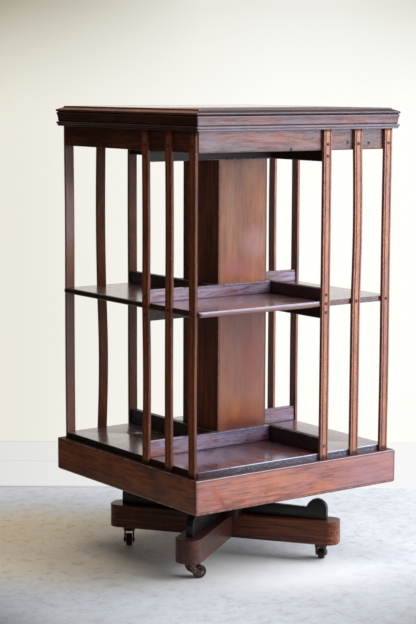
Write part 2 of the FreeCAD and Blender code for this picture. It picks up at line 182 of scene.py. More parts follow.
def both_ways(operation):
    """An operator that adds one Math node, in its plain and its reflected form."""
    def plain(value, other):
        return value.math(operation, value, other)

    def reflected(value, other):
        return value.math(operation, other, value)
    return plain, reflected


class Value:
    """An output socket of a shader tree. Arithmetic on it adds Math nodes."""
    __add__, __radd__ = both_ways("ADD")
    __sub__, __rsub__ = both_ways("SUBTRACT")
    __mul__, __rmul__ = both_ways("MULTIPLY")
    __truediv__, __rtruediv__ = both_ways("DIVIDE")
    __pow__, __rpow__ = both_ways("POWER")

    def __init__(self, finish, socket):
        self.finish = finish
        self.socket = socket

    def math(self, operation, *terms, clamp=False):
        settings = {"operation": operation, "use_clamp": clamp}
        return self.finish.node("ShaderNodeMath", settings, dict(enumerate(terms)))

    def __neg__(self):
        return self * -1.0

    def __abs__(self):
        return self.math("ABSOLUTE", self)

    def clamped(self):
        return self.math("ADD", self, 0.0, clamp=True)

    def between(self, low, high):
        """0 below low, 1 above high, straight between."""
        return ((self - low) * (1.0 / (high - low))).clamped()


def away(across, up):
    """Distance from the origin."""
    return (across * across + up * up) ** 0.5


def oval(across, up):
    """1 in the middle of a circle of radius 1, and 0 at its edge."""
    return 1.0 - away(across, up).between(0.35, 1.0)


def colour4(value):
    return value if isinstance(value, Value) else (*tuple(value)[:3], 1.0)


def blended(first, second, share):
    """A colour part of the way from the first to the second."""
    return tuple(a + (b - a) * share for a, b in zip(first, second))


# Turns about X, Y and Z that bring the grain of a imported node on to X
GRAIN_TURNS = {"y": (0, 0, -pi / 2), "z": (0, pi / 2, 0), "side_arm": (0, 0, -arm_angle),
               "front_arm": (0, 0, -arm_angle - pi / 2)}


class Finish:
    """The shader tree of a new material, or of a world that is handed in."""

    def __init__(self, name, owner=None):
        self.material = owner or bpy.data.materials.new(name)
        self.material.use_nodes = True
        self.tree = self.material.node_tree
        self.tree.nodes.clear()

    def node(self, kind, settings=None, sockets=None, output=0):
        """Adds a node: settings first, then values or links for its sockets, by name or number.
        output is one output's name or number, or a list of them."""
        made = self.tree.nodes.new(kind)
        for key, value in (settings or {}).items():
            setattr(made, key, value)
        for key, value in (sockets or {}).items():
            if isinstance(value, Value):
                self.tree.links.new(value.socket, made.inputs[key])
            else:
                made.inputs[key].default_value = value
        if isinstance(output, list):
            return [Value(self, made.outputs[each]) for each in output]
        return Value(self, made.outputs[output]) if len(made.outputs) else None

    def object_space(self):
        return self.node("ShaderNodeTexCoord", output="Object")

    def attribute(self, name, output="Fac"):
        return self.node("ShaderNodeAttribute", {"attribute_name": name}, output=output)

    def along(self, grain):
        """Coordinates with X along the grain: the board's own, or those of the object, turned."""
        if grain == "board":
            return self.attribute("grain", "Vector")
        place = self.object_space()
        if grain in GRAIN_TURNS:
            place = self.node("ShaderNodeMapping", sockets={0: place, 2: GRAIN_TURNS[grain]})
        return place

    def parts(self, vector):
        return self.node("ShaderNodeSeparateXYZ", sockets={0: vector}, output=[0, 1, 2])

    def rays(self, *kinds):
        """1 for light paths of each kind."""
        return self.node("ShaderNodeLightPath", output=[f"Is {kind} Ray" for kind in kinds])

    def noise(self, place, scale, detail=2.0, roughness=0.5, distortion=0.0, stretch=None):
        """Noise, drawn out along each axis whose stretch is below 1."""
        if stretch:
            place = self.node("ShaderNodeMapping", sockets={0: place, 3: stretch})
        sockets = {"Vector": place, "Scale": scale, "Detail": detail,
                   "Roughness": roughness, "Distortion": distortion}
        return self.node("ShaderNodeTexNoise", sockets=sockets)

    def layers(self, colour, *coats):
        """A colour with coats laid over it in turn, each a pair of its share and its colour."""
        for share, coat in coats:
            colour = self.node("ShaderNodeMix", {"data_type": "RGBA"},
                               {0: share, 6: colour4(colour), 7: colour4(coat)}, 2)
        return colour

    def surface(self, colour, rough, height, depth, **sockets):
        """Ends the tree with a Principled shader whose bumps are the height times the depth."""
        normal = self.node("ShaderNodeBump", sockets={"Height": height, "Distance": depth, "Strength": 1.0})
        named = {key.replace("_", " ").title().replace("Ior", "IOR"): value for key, value in sockets.items()}
        shader = self.node("ShaderNodeBsdfPrincipled", sockets={
            "Base Color": colour4(colour), "Roughness": rough.clamped(), "Normal": normal, **named})
        return self.ended(shader)

    def ended(self, shader, kind="Material"):
        self.node(f"ShaderNodeOutput{kind}", sockets={"Surface": shader})
        return self.material

    def glow(self, kind, colour, strength=1.0):
        """An Emission or Background shader."""
        return self.node(f"ShaderNode{kind}", sockets={"Color": colour4(colour), "Strength": strength})


# Painted light: the blue of a painted sky reflection and the lilac white of a painted highlight, which negative
# tones lay over the wood.
PAINTED_SKY_REFLECTION = (0.115, 0.13, 0.18)
PAINTED_HIGHLIGHT = (0.66, 0.55, 0.68)
BARE_EDGE = (0.5, 0.36, 0.26)
PLANK_WIDTH = 0.112


def mahogany(name, grain="board", light=0.5, depth=0.0, gloss=0.34, coat=0.3, streaks=0.45, run=0.1,
             bloom_and_sheen=0.0, haze=(0.215, 0.12, 0.15), tint=None, panel=False, nailed=False, marks=(),
             specular=0.5, lines=0.0):
    """Polished mahogany. light moves its figure to the orange bands and depth to the smoke colour; the
    boards that face away from the light get less light and more depth, as painted shade. run is how
    short the figure is along the grain, streaks the share of fine streaks in it, lines the strength of
    its dark threads. tint is a pair of share and colour over the whole figure. bloom is the share of
    the haze colour, a lilac that stands partly for cloudy old polish and partly for painted sheen.
    marks are ovals for spot, each followed by its colour, and those of full strength are pits. nailed
    adds rings of dirt round the nail heads, and panel the glue lines and blackened edges of the bottom
    board, with a painted highlight along the top arris and painted blue reflection streaks on the
    edges of the lit sides. gloss, coat and specular are the polish.

    The tone attribute is painted light and shade: above 0 it darkens to smoke as painted shade and
    roughens the polish, below 0 it turns to the blue of a painted sky reflection and below -1 to a
    painted lilac-white highlight. The arris attribute is 1 on worn edges, which get chips, a dark
    border and a thin stripe of the haze colour that is partly a painted highlight, and below 0 in
    hollows, which are filled with smoke as dirt and painted shade."""
    tones = colours()
    finish = Finish(name)
    place = finish.along(grain)

    def drawn(short, *settings):
        return finish.noise(place, *settings, stretch=(short, 1, 1))

    def darkened(wood, share):
        return blended(wood, tones.smoke, share)

    ribbon = drawn(run, 120, 3, 0.6, 1.2)
    streak = drawn(run * 0.6, 400, 4, 0.65, 0.3)
    pore = drawn(0.05, 1500).between(0.58, 0.7)
    cloud = drawn(0.5, 13, 4, 0.62, 1.0)
    smudge = finish.noise(place, 46, 4, 0.65)
    chips = finish.noise(place, 150, 4, 0.7)
    tone, arris = finish.attribute("tone"), finish.attribute("arris")
    # Tone above 0 is painted shade and also dulls the polish; hollows hold dirt and painted shade.
    dull_and_shade, hollow = tone.clamped(), (-arris).clamped()
    wear = (arris * 0.9 + chips * 1.6).between(1.72, 1.95)
    line = arris.between(0.84, 0.95) * chips.between(0.4, 0.55)
    figure = (ribbon * (1.0 - streaks) + streak * streaks).between(0.38, 0.62)
    figure = figure * 0.8 + (cloud.between(0.36, 0.64) - 0.5) * 0.55 + (light - 0.4)
    deep = darkened(tones.deep, depth)
    coats = [(figure.between(0.0, 0.55), darkened(tones.red_brown, depth)),
             (figure.between(0.5, 1.1), darkened(tones.orange, depth)),
             (smudge.between(0.52, 0.72) * cloud.between(0.3, 0.6) * 0.3, deep)]
    if lines:
        coats.append(((ribbon * 0.5 + streak * 0.5).between(0.53, 0.45) * lines, darkened(tones.deep, 0.75)))
    if panel:
        across = finish.parts(place)[1] / PLANK_WIDTH
        number = across.math("FLOOR", across)
        plank = finish.node("ShaderNodeTexWhiteNoise", {"noise_dimensions": "1D"}, {"W": number}, "Value")
        joint = abs(across - number - 0.5).between(0.485, 0.495)
        coats += [(plank * 0.35, deep), (joint * 0.75, tones.smoke)]
    if tint:
        coats.append(tint)
    coats.append((pore * 0.55, darkened(tones.deep, 0.6)))
    if bloom_and_sheen:
        # The haze stands partly for cloudy old polish and partly for painted sheen.
        sheen_veil = (drawn(0.35, 30, 5, 0.65, 1.0) * 0.5 + ribbon * 0.3 + streak * 0.2).between(0.42, 0.56)
        coats.append((sheen_veil * bloom_and_sheen, haze))
    pits = 0.0
    for *shape, strength, stain in marks:
        soft = spot(finish, *shape) * strength
        coats.append((soft, stain))
        if strength == 1.0:
            pits = soft + pits
    # Painted light and shade from the tone: smoke above 0, a painted sky reflection below 0 and a painted
    # lilac-white highlight below -1. The stripe of haze on worn edges is partly a painted highlight.
    coats += [(dull_and_shade, tones.smoke), ((arris.between(0.1, 0.6) - line).clamped() * 0.6, tones.smoke),
              (line * 0.5, haze), (wear * 0.6, blended(tones.orange, BARE_EDGE, 0.25)),
              ((-tone).clamped(), PAINTED_SKY_REFLECTION), ((-1.0 - tone).clamped(), PAINTED_HIGHLIGHT)]
    if panel:
        x, y, z = finish.parts(finish.object_space())
        far = abs(x).math("MAXIMUM", abs(x), abs(y))
        hollow = far.between(case_half - 0.0012, case_half - 0.0006)
        top = z.between(board_high[2] - 0.0016, board_high[2] - 0.0006)
        rim = far.between(case_half - 0.0034, case_half - 0.0022) * top * chips.between(0.3, 0.42)
        hollow = (hollow - rim).clamped()
        # Painted light: the sides that face the window get a pale blue painted highlight along the top arris.
        lit = (x - y).between(0.0, 0.1)
        coats.append((rim * lit * 0.9, (0.62, 0.68, 0.86)))
    if nailed:
        hollow = (hollow + nail_rings(finish)).clamped()
    hollow = (hollow + pits).clamped()
    coats.append((hollow * 0.9, tones.smoke))
    # Painted blue reflection streaks on the blackened edges of the lit sides.
    if panel:
        coats.append((hollow * lit * streak.between(0.42, 0.58) * 0.8, (0.13, 0.15, 0.21)))
    rough = gloss + (smudge - 0.5) * 0.3 + pore * 0.12 + wear * 0.16 + hollow * 0.3 + dull_and_shade * 0.25
    height = streak * 0.35 - pore + chips * wear * 1.5
    return finish.surface(
        finish.layers(deep, *coats), rough, height, 0.00016,
        coat_weight=(coat - (wear + dull_and_shade + hollow) * coat).clamped() if coat else 0.0,
        coat_roughness=0.16, specular_ior_level=specular)


def spot(finish, centre_x, centre_z, half_x, half_z, slant):
    """A soft oval on a board of the -Y side, leaning by slant along x for each unit of z."""
    x, y, z = finish.parts(finish.object_space())
    rise = z - centre_z
    return oval((x - centre_x - rise * slant) / half_x, rise / half_z)


def nail_rings(finish):
    """Dark rings of dirt round the nail heads of a slat, from its own across and up coordinates.
    Only the innermost slat, whose reach is 1, is nailed at the rails."""
    across, height, reach = finish.parts(finish.attribute("slat", "Vector"))
    rings = 0.0
    for number, level in enumerate(nail_levels):
        ring = 1.0 - away(across, height - level).between(0.0026, 0.004)
        rings = (ring if number < 3 else ring * reach) + rings
    return rings


def ebonised():
    """Black stained brace: the grain shows as a faint brown through the stain, edges rub grey."""
    finish = Finish("ebonised")
    streak = finish.noise(finish.along("side_arm"), 210, 4, 0.6, 0.4, (0.06, 1, 1))
    smudge = finish.noise(finish.object_space(), 38, 4, 0.65)
    scuff = finish.noise(finish.object_space(), 420, 3, 0.7)
    colour = finish.layers(
        colours().ebony, (streak.between(0.42, 0.72) * 0.5, (0.034, 0.024, 0.018)),
        (scuff.between(0.62, 0.78) * smudge.between(0.45, 0.7), (0.07, 0.062, 0.055)))
    return finish.surface(colour, 0.36 + (smudge - 0.5) * 0.45, streak + scuff * 0.4, 0.00022,
                          coat_weight=0.1, coat_roughness=0.22, specular_ior_level=0.3)


def old_metal(name, colour, tarnish, gloss, spread=60.0, scratch=0.0):
    """Old metal, dull with tarnish in patches and brighter where it rubs."""
    finish = Finish(name)
    place = finish.object_space()
    patch = finish.noise(place, spread * 4, 4, 0.65)
    grit = finish.noise(place, spread * 26, 3, 0.6)
    lines = finish.noise(place, spread * 20, stretch=(1, 1, 12))
    rub = patch.between(0.46, 0.68)
    mixed = finish.layers(tarnish, (rub, colour),
                          (grit.between(0.55, 0.8) * 0.4, blended(tarnish, (0, 0, 0), 0.4)))
    rough = gloss + (1.0 - rub) * 0.24 + (grit - 0.5) * 0.2 + lines * scratch
    return finish.surface(mixed, rough, grit + patch * 0.5, 0.0001, metallic=(0.55 + rub * 0.45).clamped())


def bare_softwood():
    """Unpolished deal of the inner blocks."""
    finish = Finish("bare_softwood")
    rings = finish.noise(finish.along("z"), 160, 3, 0.5, 1.2, (0.05, 1, 1))
    dirt = finish.noise(finish.object_space(), 30, 4, 0.7)
    colour = finish.layers((0.34, 0.21, 0.11), (rings.between(0.4, 0.65), (0.2, 0.105, 0.05)),
                           (dirt.between(0.45, 0.75) * 0.6, (0.09, 0.055, 0.035)))
    return finish.surface(colour, 0.7 + dirt * 0.15, rings, 0.0002)


# Surfaces worked out on grids

def quarter(points, side):
    """Turns points about the spindle to a side of the case."""
    angle = pi / 2 * SIDES.index(side)
    cosine, sine = cos(angle), sin(angle)
    turn = np.array([[cosine, -sine, 0], [sine, cosine, 0], [0, 0, 1]])
    return points @ turn.T


class Boards:
    """Collects the grids of one piece, with the values that its material reads kept at each point."""

    def __init__(self):
        self.faces = []
        self.count = 0
        self.kept = {"points": [], "grain": [], "arris": [], "tone": [], "slat": []}

    def add(self, points, side, grain, arris, tone=0.0, slat=None):
        """Turns points, sections x outline x 3, to a side. Consecutive sections are joined, the
        outline closes on itself, and the first and last section are filled."""
        rows, columns = points.shape[:2]
        down = np.arange(rows - 1)[:, None] * columns
        across = np.arange(columns)[None, :]
        beside = (across + 1) % columns
        quads = np.stack([down + across, down + beside, down + columns + beside, down + columns + across], -1)
        self.faces += (quads.reshape(-1, 4) + self.count).tolist()
        first = np.arange(columns) + self.count
        self.faces += [first.tolist(), (first[::-1] + (rows - 1) * columns).tolist()]
        for key, data in (("points", quarter(points, side)), ("grain", grain), ("slat", slat)):
            if data is not None:
                self.kept[key].append(data.reshape(-1, 3))
        for key, data in (("arris", arris), ("tone", tone)):
            self.kept[key].append(np.broadcast_to(data, points.shape[:2]).reshape(-1))
        self.count += rows * columns
        return self

    def finish(self, name, material, slot, nodes):
        """Makes the piece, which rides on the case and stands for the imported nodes."""
        kept = {key: np.concatenate(data) for key, data in self.kept.items() if data}
        mesh = bpy.data.meshes.new(name)
        mesh.from_pydata(kept.pop("points").tolist(), [], self.faces)
        for key, data in kept.items():
            kind, label = ("FLOAT_VECTOR", "vector") if data.ndim == 2 else ("FLOAT", "value")
            layer = mesh.attributes.new(key, kind, "POINT")
            layer.data.foreach_set(label, data.astype(np.float32).ravel())
        work = bmesh.new()
        work.from_mesh(mesh)
        bmesh.ops.recalc_face_normals(work, faces=work.faces)
        work.to_mesh(mesh)
        work.free()
        return placed(name, mesh, material, "case", nodes)


def linked(name, data):
    """A new object, unturned at the origin."""
    thing = bpy.data.objects.new(name, data)
    bpy.context.scene.collection.objects.link(thing)
    return thing


def placed(name, mesh, material, body, nodes):
    """Links a piece, gives it its material and body, and names the nodes it stands for."""
    mesh.polygons.foreach_set("use_smooth", np.ones(len(mesh.polygons), bool))
    mesh.update()
    piece = linked(name, mesh)
    mesh.materials.clear()
    mesh.materials.append(material)
    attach(piece, body)
    if nodes:
        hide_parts(*nodes)
    return piece


def winding(outline):
    """1 for an outline that runs against the clock, -1 for one that runs with it."""
    x, y = outline.T
    return np.sign(np.sum(x * np.roll(y, -1) - np.roll(x, -1) * y))


def eased_outline(corners, radii, steps=4, reach=0.0035):
    """Closed outline with each corner replaced by an arc of its radius. Returns the points and an
    arris value: 1 on the arcs of outer corners, -1 on those of hollow ones, 0 a reach away."""
    corners = np.asarray(corners, float)
    radii = np.broadcast_to(radii, len(corners))
    points, arris = [], []
    for corner, before, after, radius in zip(corners, np.roll(corners, 1, 0), np.roll(corners, -1, 0), radii):
        back, on = before - corner, after - corner
        back_length, on_length = np.hypot(*back), np.hypot(*on)
        back, on = back / back_length, on / on_length
        value = 1.0 if (back[1] * on[0] - back[0] * on[1]) * winding(corners) > 0 else -1.0
        half_angle = acos(np.clip(back @ on, -1, 1)) / 2
        tangent = min(radius / tan(half_angle), 0.45 * min(back_length, on_length))
        radius = tangent * tan(half_angle)
        centre = corner + (back + on) / np.hypot(*(back + on)) * radius / sin(half_angle)
        start, end = corner + back * tangent - centre, corner + on * tangent - centre
        share = np.linspace(0, 1, steps + 1)[:, None]
        sweep = pi - 2 * half_angle
        arc = (np.sin((1 - share) * sweep) * start + np.sin(share * sweep) * end) / sin(sweep) + centre
        free_back, free_on = back_length / 2 - tangent, on_length / 2 - tangent
        points += [corner + back * (tangent + min(reach, 0.9 * free_back)),
                   corner + back * (tangent + min(SLIGHT, 0.2 * free_back)), *arc,
                   corner + on * (tangent + min(SLIGHT, 0.2 * free_on)),
                   corner + on * (tangent + min(reach, 0.9 * free_on))]
        arris += [0.0, value * 0.85, *([value] * (steps + 1)), value * 0.85, 0.0]
    return np.array(points), np.array(arris)


def rectangle(x0, x1, y0, y1):
    return [(x0, y0), (x1, y0), (x1, y1), (x0, y1)]


def carried(outline, arris, start, end, axis, ease=0.0, sections=None):
    """An outline carried straight from start to end along X or Z, its own two numbers being Y and
    Z, or X and Y. Its ends are eased by a quarter circle: at the angle t the section stands
    ease * (1 - sin t) from the end, drawn in by ease * (1 - cos t) along the outline's own
    normals. Returns the points and arris values."""
    sections = sections or stage_values().stations
    edge = np.roll(outline, -1, 0) - np.roll(outline, 1, 0)
    normal = np.stack([edge[:, 1], -edge[:, 0]], 1) / np.hypot(edge[:, 0], edge[:, 1])[:, None]
    normal *= winding(outline)
    if ease:
        angle = np.linspace(pi / 2, 0, 4)
        depth = np.concatenate([ease * (1 - np.sin(angle)), [ease + SLIGHT, ease + 0.001]])
        inset = np.concatenate([ease * (1 - np.cos(angle)), [0, 0]])
        value = np.array([1.0] * 4 + [0.85, 0.0])
    else:
        depth = inset = value = np.array([0.0])
    middle = np.linspace(start + depth[-1], end - depth[-1], sections + 2)[1:-1]
    places = np.concatenate([start + depth, middle, (end - depth)[::-1]])
    insets = np.concatenate([inset, np.zeros(sections), inset[::-1]])
    values = np.concatenate([value, np.zeros(sections), value[::-1]])[:, None]
    outlines = outline[None] - normal[None] * insets[:, None, None]
    both = np.where(np.abs(arris)[None] > np.abs(values), arris[None], values)
    if ease:
        centre = outline.mean(0)
        inner = centre + (outlines[[0, -1]] - centre) * 0.8
        outlines = np.concatenate([inner[:1], outlines, inner[1:]])
        places = np.concatenate([places[:1], places, places[-1:]])
        both = np.pad(both, ((1, 1), (0, 0)))
    along = np.repeat(places[:, None, None], len(outline), 1)
    return np.concatenate([along, outlines] if axis == "x" else [outlines, along], -1), both


def grain_of(points, axis, seed):
    """Grain coordinates: length first, then the two across, moved by the board's own offset."""
    order = {"x": (0, 1, 2), "z": (2, 0, 1)}[axis]
    return points[..., order] + np.random.default_rng(seed).uniform(-4, 4, 3)


def mitred_length(profile, arris, corner):
    """A profile of (distance out, height) pairs carried along the -Y side between the two mitres.
    At distance out o the length runs straight to o - corner, then round an arc of that radius for
    an eighth of a turn, which ends on the diagonal."""
    out, height = profile[:, 0][None], profile[:, 1][None]
    sections = stage_values().stations
    turn = np.linspace(0, pi / 4, 4)[:, None]
    body = np.linspace(-1, 1, sections)[:, None] * (out - corner - 0.004)
    x_arc = (out - corner) + corner * np.sin(turn)
    y_arc = -(out - corner) - corner * np.cos(turn)
    x_near = (out - corner) - SLIGHT
    x = np.concatenate([-x_arc[::-1], -x_near, body, x_near, x_arc])
    y = np.concatenate([y_arc[::-1], np.repeat(-out, sections + 2, 0), y_arc])
    z = np.repeat(height, len(x), 0)
    worn = 0.9 * np.concatenate([np.ones(4), [0.85], np.zeros(sections), [0.85], np.ones(4)])[:, None]
    return np.stack([x, y, z], -1), np.where(np.abs(arris)[None] > worn, arris[None], worn)


def four_boards(piece, axis, seed, grids, front, shaded_looks, **shared):
    """Makes a board for each side from grids of points, arris values and tones by side, the tones being
    painted light and shade. front and rest are the looks of the front board and of the others: the
    front one lit, the others darker as painted shade. shared are those of all four."""
    for turn, side in enumerate(SIDES):
        name, boards = f"{piece}_{side}", Boards()
        for points, arris, tones in grids:
            boards.add(points, side, grain_of(points, axis, seed + turn), arris, tones[turn])
        nodes = [node for node in (name, "" if turn else piece) if node in frame["nodes"]]
        material = mahogany(name, **shared, **(shaded_looks if turn else front))
        boards.finish(name + "_polished", material, piece + "_wood", nodes)


def softened(node, name, width, material, segments=2):
    """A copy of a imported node, its loose triangles merged, with its sharp edges rounded."""
    source = frame["nodes"][node]
    mesh = source.data.copy()
    mesh.name = name
    work = bmesh.new()
    work.from_mesh(mesh)
    bmesh.ops.remove_doubles(work, verts=work.verts, dist=0.00001)
    bmesh.ops.dissolve_limit(work, angle_limit=0.01, verts=work.verts, edges=work.edges)
    work.to_mesh(mesh)
    work.free()
    piece = placed(name, mesh, material, body_of(source)[0], [node])
    bevel = piece.modifiers.new("arris", "BEVEL")
    bevel.width = width
    bevel.segments = segments
    bevel.limit_method = "ANGLE"
    bevel.angle_limit = 0.6
    bevel.harden_normals = True


def give(material, *nodes):
    """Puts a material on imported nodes."""
    for node in nodes:
        target = frame["nodes"][node].data
        target.materials.clear()
        target.materials.append(material)


# Boards of the case. Each mark on a front board is an oval's centre (x, z), half sizes (x, z),
# slant, strength and colour.

PIT = (0.01, 0.008, 0.007)
PLAIN = (0.0,) * 4
# How far each side's slats are bowed below and above the shelf, as shares of the greatest bow
SLAT_BOW = {"front": ((0.0, 0.05), (0.0, 0.75), (0.15, -0.1)), "right": ((0.2, -0.1), (0.1, 0.3), (0.0, 0.1)),
            "back": ((0.1, 0.1), (-1.0, 0.45), (0.1, -0.2)), "left": ((0.7, 0.3), (-0.2, 0.35), (-0.45, -0.2))}
# Looks of the slats by side: the front slats are the lit copy; the back slats are darker and browner, and the
# right and left slats a little darker, as painted shade, the left ones warmer.
SLAT_WOOD = {"front": dict(light=0.66, tint=(0.4, (0.37, 0.18, 0.095))), "right": dict(depth=0.1),
             "back": dict(depth=0.15, tint=(0.4, (0.2, 0.105, 0.05)), coat=0.0, specular=0.3),
             "left": dict(light=0.52, depth=0.08, tint=(0.4, (0.3, 0.095, 0.022)), coat=0.0, specular=0.3)}
# Painted light on slat_back_3, seen through the front bay: a pale pink patch of painted window light, and dark
# patches of painted shade under the top and lower down.
LIT_SLAT = dict(depth=0.15, tint=(0.6, (0.46, 0.26, 0.19)), marks=[
    (-0.2, 0.775, 0.6, 0.09, 0.0, 0.55, (0.11, 0.05, 0.025)),
    (-0.2, 0.655, 0.6, 0.08, 0.0, 0.6, (0.6, 0.4, 0.38)),
    (-0.2, 0.4, 0.6, 0.11, 0.0, 0.45, (0.13, 0.055, 0.05))])


def slat_wood(name, settings):
    return mahogany(name, gloss=0.36, nailed=True, **{"coat": 0.25, **settings})


class BOOKCASE_OT_slats(bpy.types.Operator):
    """Make the twelve slats, with two quirks along the face and a slight bow between the nails"""
    bl_idname = "bookcase.slats"
    bl_label = "Slats"

    def execute(self, context):
        size = sizes()
        width, thickness = (slat_high - slat_low)[:2]
        half, groove = width / 2, size.quirk_width / 2
        corners, radii = [(-half, 0), (-half, -thickness)], [SLIGHT, size.arris]
        for centre in (-half + size.quirk_inset, half - size.quirk_inset):
            corners += [(centre - groove, -thickness), (centre, -thickness + size.quirk_depth),
                        (centre + groove, -thickness)]
            radii += [SLIGHT, 0.0002, SLIGHT]
        corners += [(half, -thickness), (half, 0)]
        radii += [size.arris, SLIGHT]
        outline, arris = eased_outline(corners, radii, 3, 0.0016)
        arris *= np.where(arris > 0, 0.9, 0.7)
        for turn, side in enumerate(SIDES):
            wood = slat_wood(f"slat_{side}", SLAT_WOOD[side])
            for number, (bow_low, bow_high) in enumerate(SLAT_BOW[side]):
                name = f"slat_{side}_{number + 1}"
                low, high = span(name)
                points, values = carried(outline, arris, low[2], high[2], "z")
                height = points[:, :1, 2]
                lower = np.clip((height - board_high[2]) / (shelf_level - board_high[2]), 0, 1)
                upper = np.clip((height - shelf_level) / (frieze_low[2] - shelf_level), 0, 1)
                bow = (np.sin(pi * lower) * bow_low + np.sin(pi * upper) * bow_high) * size.slat_bow
                grain = grain_of(points, "z", 10 * turn + number)
                centre = slat_first + (span(f"slat_front_{number + 1}")[0][0] - slat_low[0])
                points[..., 0] += centre + bow
                points[..., 1] -= case_half
                own = points[..., [0, 2, 2]] - [centre, 0, 0]
                own[..., 2] = number == 0
                # Painted shade: slat_back_1 is darkened towards smoke, and on the left slats so is one edge
                # face.
                tone = np.full(len(outline), 0.3 if name == "slat_back_1" else 0.0)
                if side == "left":
                    tone[outline[:, 0] > half - 0.0002] = 0.5
                material = slat_wood("slat_back_lit", LIT_SLAT) if name == "slat_back_3" else wood
                boards = Boards().add(points, side, grain, values, tone, own)
                boards.finish(name + "_polished", material, "slat_wood", [name])
        return {"FINISHED"}


class BOOKCASE_OT_skirt(bpy.types.Operator):
    """Make the four mitred skirt boards, rounded along the foot and at the upright corners"""
    bl_idname = "bookcase.skirt"
    bl_label = "Skirt"

    def execute(self, context):
        size = sizes()
        inner = skirt_half - (skirt_high[1] - skirt_low[1])
        corners = rectangle(inner, skirt_half, skirt_low[2], skirt_high[2])
        outline, arris = eased_outline(corners, [0.0008, size.skirt_foot, 0.0016, 0.0005], 6)
        # Painted shade: the ledge beside the bottom board is darkened towards smoke, more on the back and left.
        ledge = (outline[:, 1] > skirt_high[2] - 0.0008) & (outline[:, 0] < skirt_half - 0.0014)
        lit, shaded = ledge * 0.6, ledge * 0.93
        lit[25:30], shaded[25:30] = -1.35, 0.6  # the arc of the upper outer edge: a painted highlight on the front and right, painted shade on the back and left
        dark, red = colours().deep, (0.3, 0.062, 0.012)
        grid = (*mitred_length(outline, arris, size.skirt_corner), (lit, lit, shaded, shaded))
        # The front board is the lit copy, with haze that is partly painted sheen; the others are darker, as
        # painted shade.
        four_boards("skirt", "x", 40, [grid], dict(light=0.64, bloom_and_sheen=0.6, lines=0.4, marks=[
            (-0.186, 0.18, 0.011, 0.034, -0.62, 0.75, red), (-0.174, 0.166, 0.007, 0.022, -0.6, 0.7, dark),
            (-0.079, 0.176, 0.006, 0.003, 0.0, 0.8, dark),
            (-0.055, 0.196, 0.085, 0.026, 0.0, 0.25, (0.42, 0.16, 0.05)),
            # A lilac patch at the right end: painted sheen.
            (0.19, 0.19, 0.14, 0.08, 0.0, 0.5, (0.3, 0.155, 0.175))]),
            dict(light=0.38, depth=0.2, lines=0.15), gloss=0.36, coat=0.25, haze=(0.28, 0.125, 0.115))
        return {"FINISHED"}


class BOOKCASE_OT_cornice(bpy.types.Operator):
    """Make the four mitred lengths of the cornice: fillet, bead and hollowed fascia"""
    bl_idname = "bookcase.cornice"
    bl_label = "Cornice"

    def execute(self, context):
        low, high, head = cornice_low[2], cornice_high[2], cornice_high[0]
        fillet, foot = case_half + 0.0099, case_half + 0.0092
        turn = np.linspace(-pi / 2, pi / 2, 9)
        bead_depth, bead_half, bead_level = 0.0022, 0.0027, low + 0.0061
        bead = np.stack([fillet - SLIGHT + bead_depth * np.cos(turn), bead_level + bead_half * np.sin(turn)], 1)
        rise, hollow = np.linspace(0, 1, 12), 2.2
        fascia_low, fascia_high = low + 0.0104, high - 0.0012
        fascia = np.stack([foot + (head - foot) * rise ** hollow,
                           fascia_low + (fascia_high - fascia_low) * rise], 1)
        profile = np.concatenate([
            [(case_half, low), (fillet - 0.0005, low), (fillet, low + 0.0005), (fillet, low + 0.0031),
             (fillet - 0.0003, low + 0.0034)], bead,
            [(fillet - 0.0012, low + 0.0088), (foot - 0.0014, low + 0.0089), (foot - 0.0012, low + 0.0092)],
            fascia, [(head - 0.0006, high - 0.0004), (head - 0.0016, high), (case_half, high)]])
        arris = np.concatenate([[-0.5, 0, 0, 0, -0.9], 0 * turn, [-0.9, -1, -0.9, -0.4, -0.1],
                                np.zeros(12), [-0.5]])
        tone = np.zeros(len(profile))
        tone[1:4] = 0.7  # the fillet, then the bead's upper half and the fascia's head, which get a painted sky reflection, fainter on the back and left
        tone[10:14] = tone[-4:-2] = 1.0
        lit, shaded = tone * -0.75, tone * -0.25
        grid = (*mitred_length(profile, arris, MITRE_EASE), (lit, lit, shaded, shaded))
        # The front length is the lit copy, with haze that is partly painted sheen; the others are darker, as
        # painted shade.
        four_boards("cornice", "x", 60, [grid], dict(light=0.45, depth=0.35, bloom_and_sheen=0.7),
                    dict(light=0.3, depth=0.75), gloss=0.32, coat=0.4, streaks=0.6, lines=0.4,
                    haze=(0.105, 0.088, 0.098))
        return {"FINISHED"}


